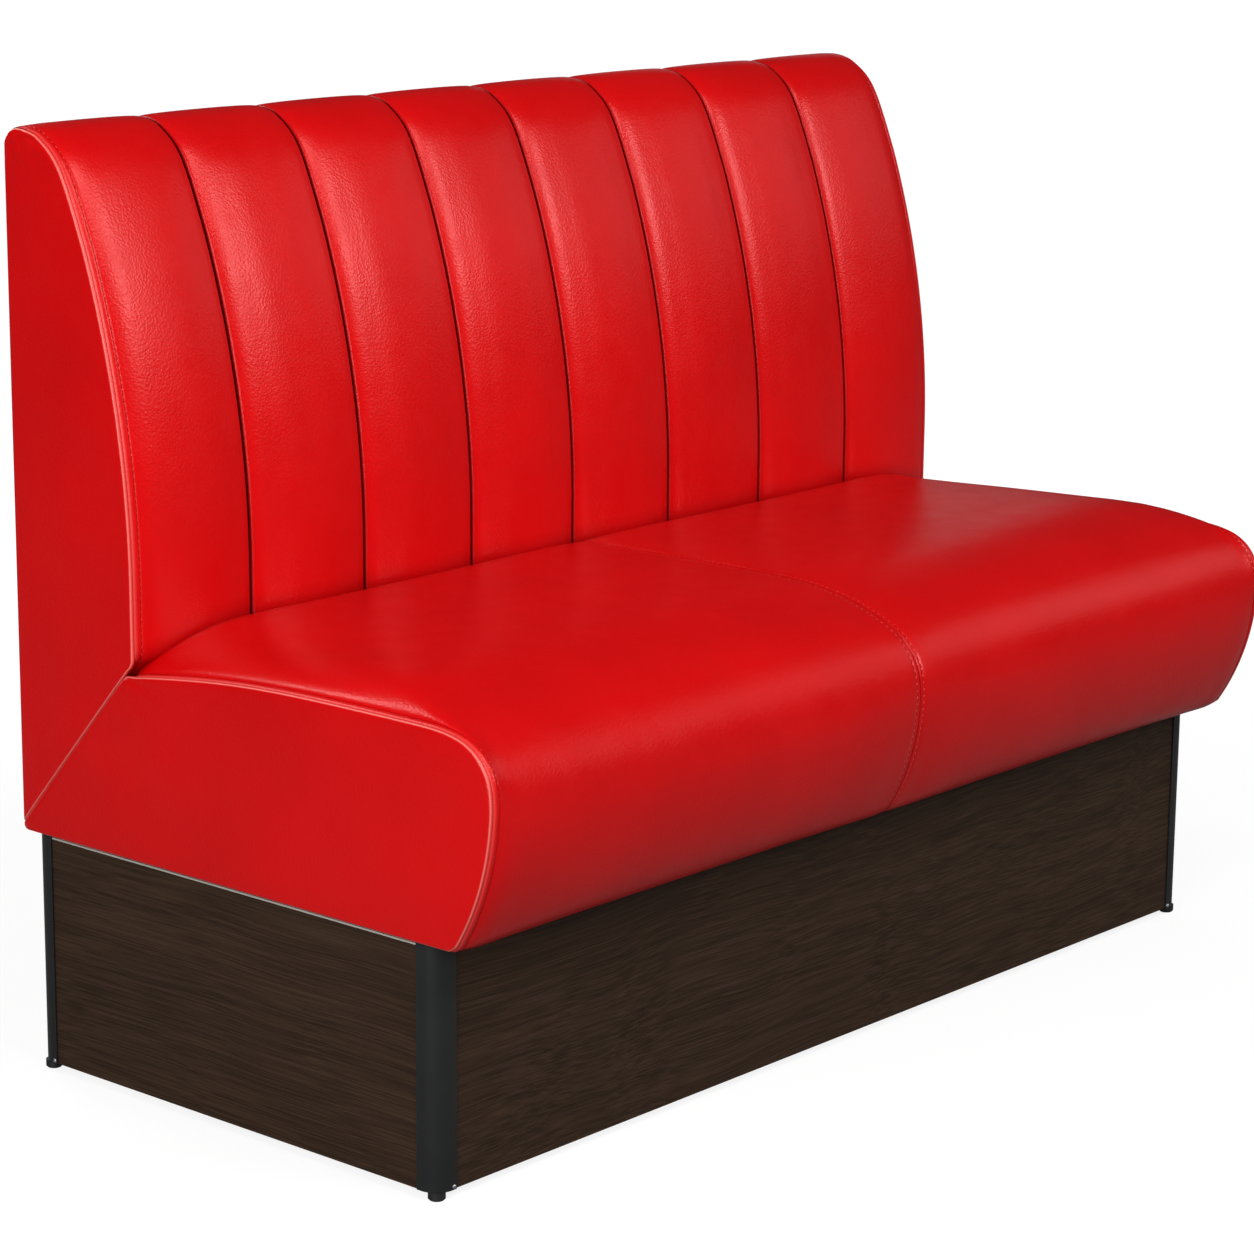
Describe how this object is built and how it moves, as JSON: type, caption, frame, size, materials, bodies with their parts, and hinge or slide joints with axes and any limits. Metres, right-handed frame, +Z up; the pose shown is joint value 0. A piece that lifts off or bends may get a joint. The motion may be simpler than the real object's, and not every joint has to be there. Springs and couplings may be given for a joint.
{
  "type": "banquette bench",
  "caption": "Straight diner banquette: a tall channelled back and a crowned seat in leatherette on a recessed, boxed woodgrain plinth.",
  "frame": {"origin": "on the floor, in the middle of the box round the whole bench", "axes": "+X along the bench to the right of someone who looks at its front, +Y from its front to its rear, +Z up"},
  "size_m": [1.2, 0.606, 0.905],
  "materials": {
    "leatherette": "red satin leatherette with a fine grain",
    "foam": "matt upholstery foam",
    "plinth_laminate": "dark woodgrain laminate, satin",
    "corner_profile": "black satin powder coat",
    "glide_plastic": "moulded",
    "zinc_steel": "zinc plated",
    "plywood": "sanded",
    "softwood": "planed",
    "hardboard": "pressed",
    "webbing": "woven",
    "felt": "needled",
    "lining": "spun-bonded"
  },
  "bodies": {
    "root": {"back_bent_board": "plywood", "back_channel_cover": "leatherette", "back_foam": "foam", "back_foot_rail": "softwood", "back_gable_left": "plywood", "back_gable_right": "plywood", "back_lumbar_rail": "softwood", "back_middle_rail": "softwood", "back_rear_board": "hardboard", "back_rear_cover": "leatherette", "back_side_foam_left": "foam", "back_side_foam_right": "foam", "back_side_panel_left": "leatherette", "back_side_panel_right": "leatherette", "back_top_rail": "softwood", "cleat_front": "softwood", "cleat_left": "softwood", "cleat_rear": "softwood", "cleat_right": "softwood", "coach_screws": "zinc_steel", "corner_post_front_left": "corner_profile", "corner_post_front_right": "corner_profile", "corner_post_rear_left": "corner_profile", "corner_post_rear_right": "corner_profile", "glides": "glide_plastic", "plinth_centre_board": "plywood", "plinth_panel_front": "plinth_laminate", "plinth_panel_left": "plinth_laminate", "plinth_panel_rear": "plinth_laminate", "plinth_panel_right": "plinth_laminate", "rake_bolts": "zinc_steel", "rake_nuts": "zinc_steel", "seat_cover_left": "leatherette", "seat_cover_right": "leatherette", "seat_felt": "felt", "seat_foam": "foam", "seat_front_rail": "softwood", "seat_gable_left": "plywood", "seat_gable_right": "plywood", "seat_heel_rail": "softwood", "seat_lining": "lining", "seat_nose_foam": "foam", "seat_rake_rail": "softwood", "seat_rear_rail": "softwood", "seat_side_foam_left": "foam", "seat_side_foam_right": "foam", "seat_side_panel_left": "leatherette", "seat_side_panel_right": "leatherette", "seat_stretcher_left": "softwood", "seat_stretcher_right": "softwood", "seat_webbing": "webbing"}
  },
  "joints": []
}
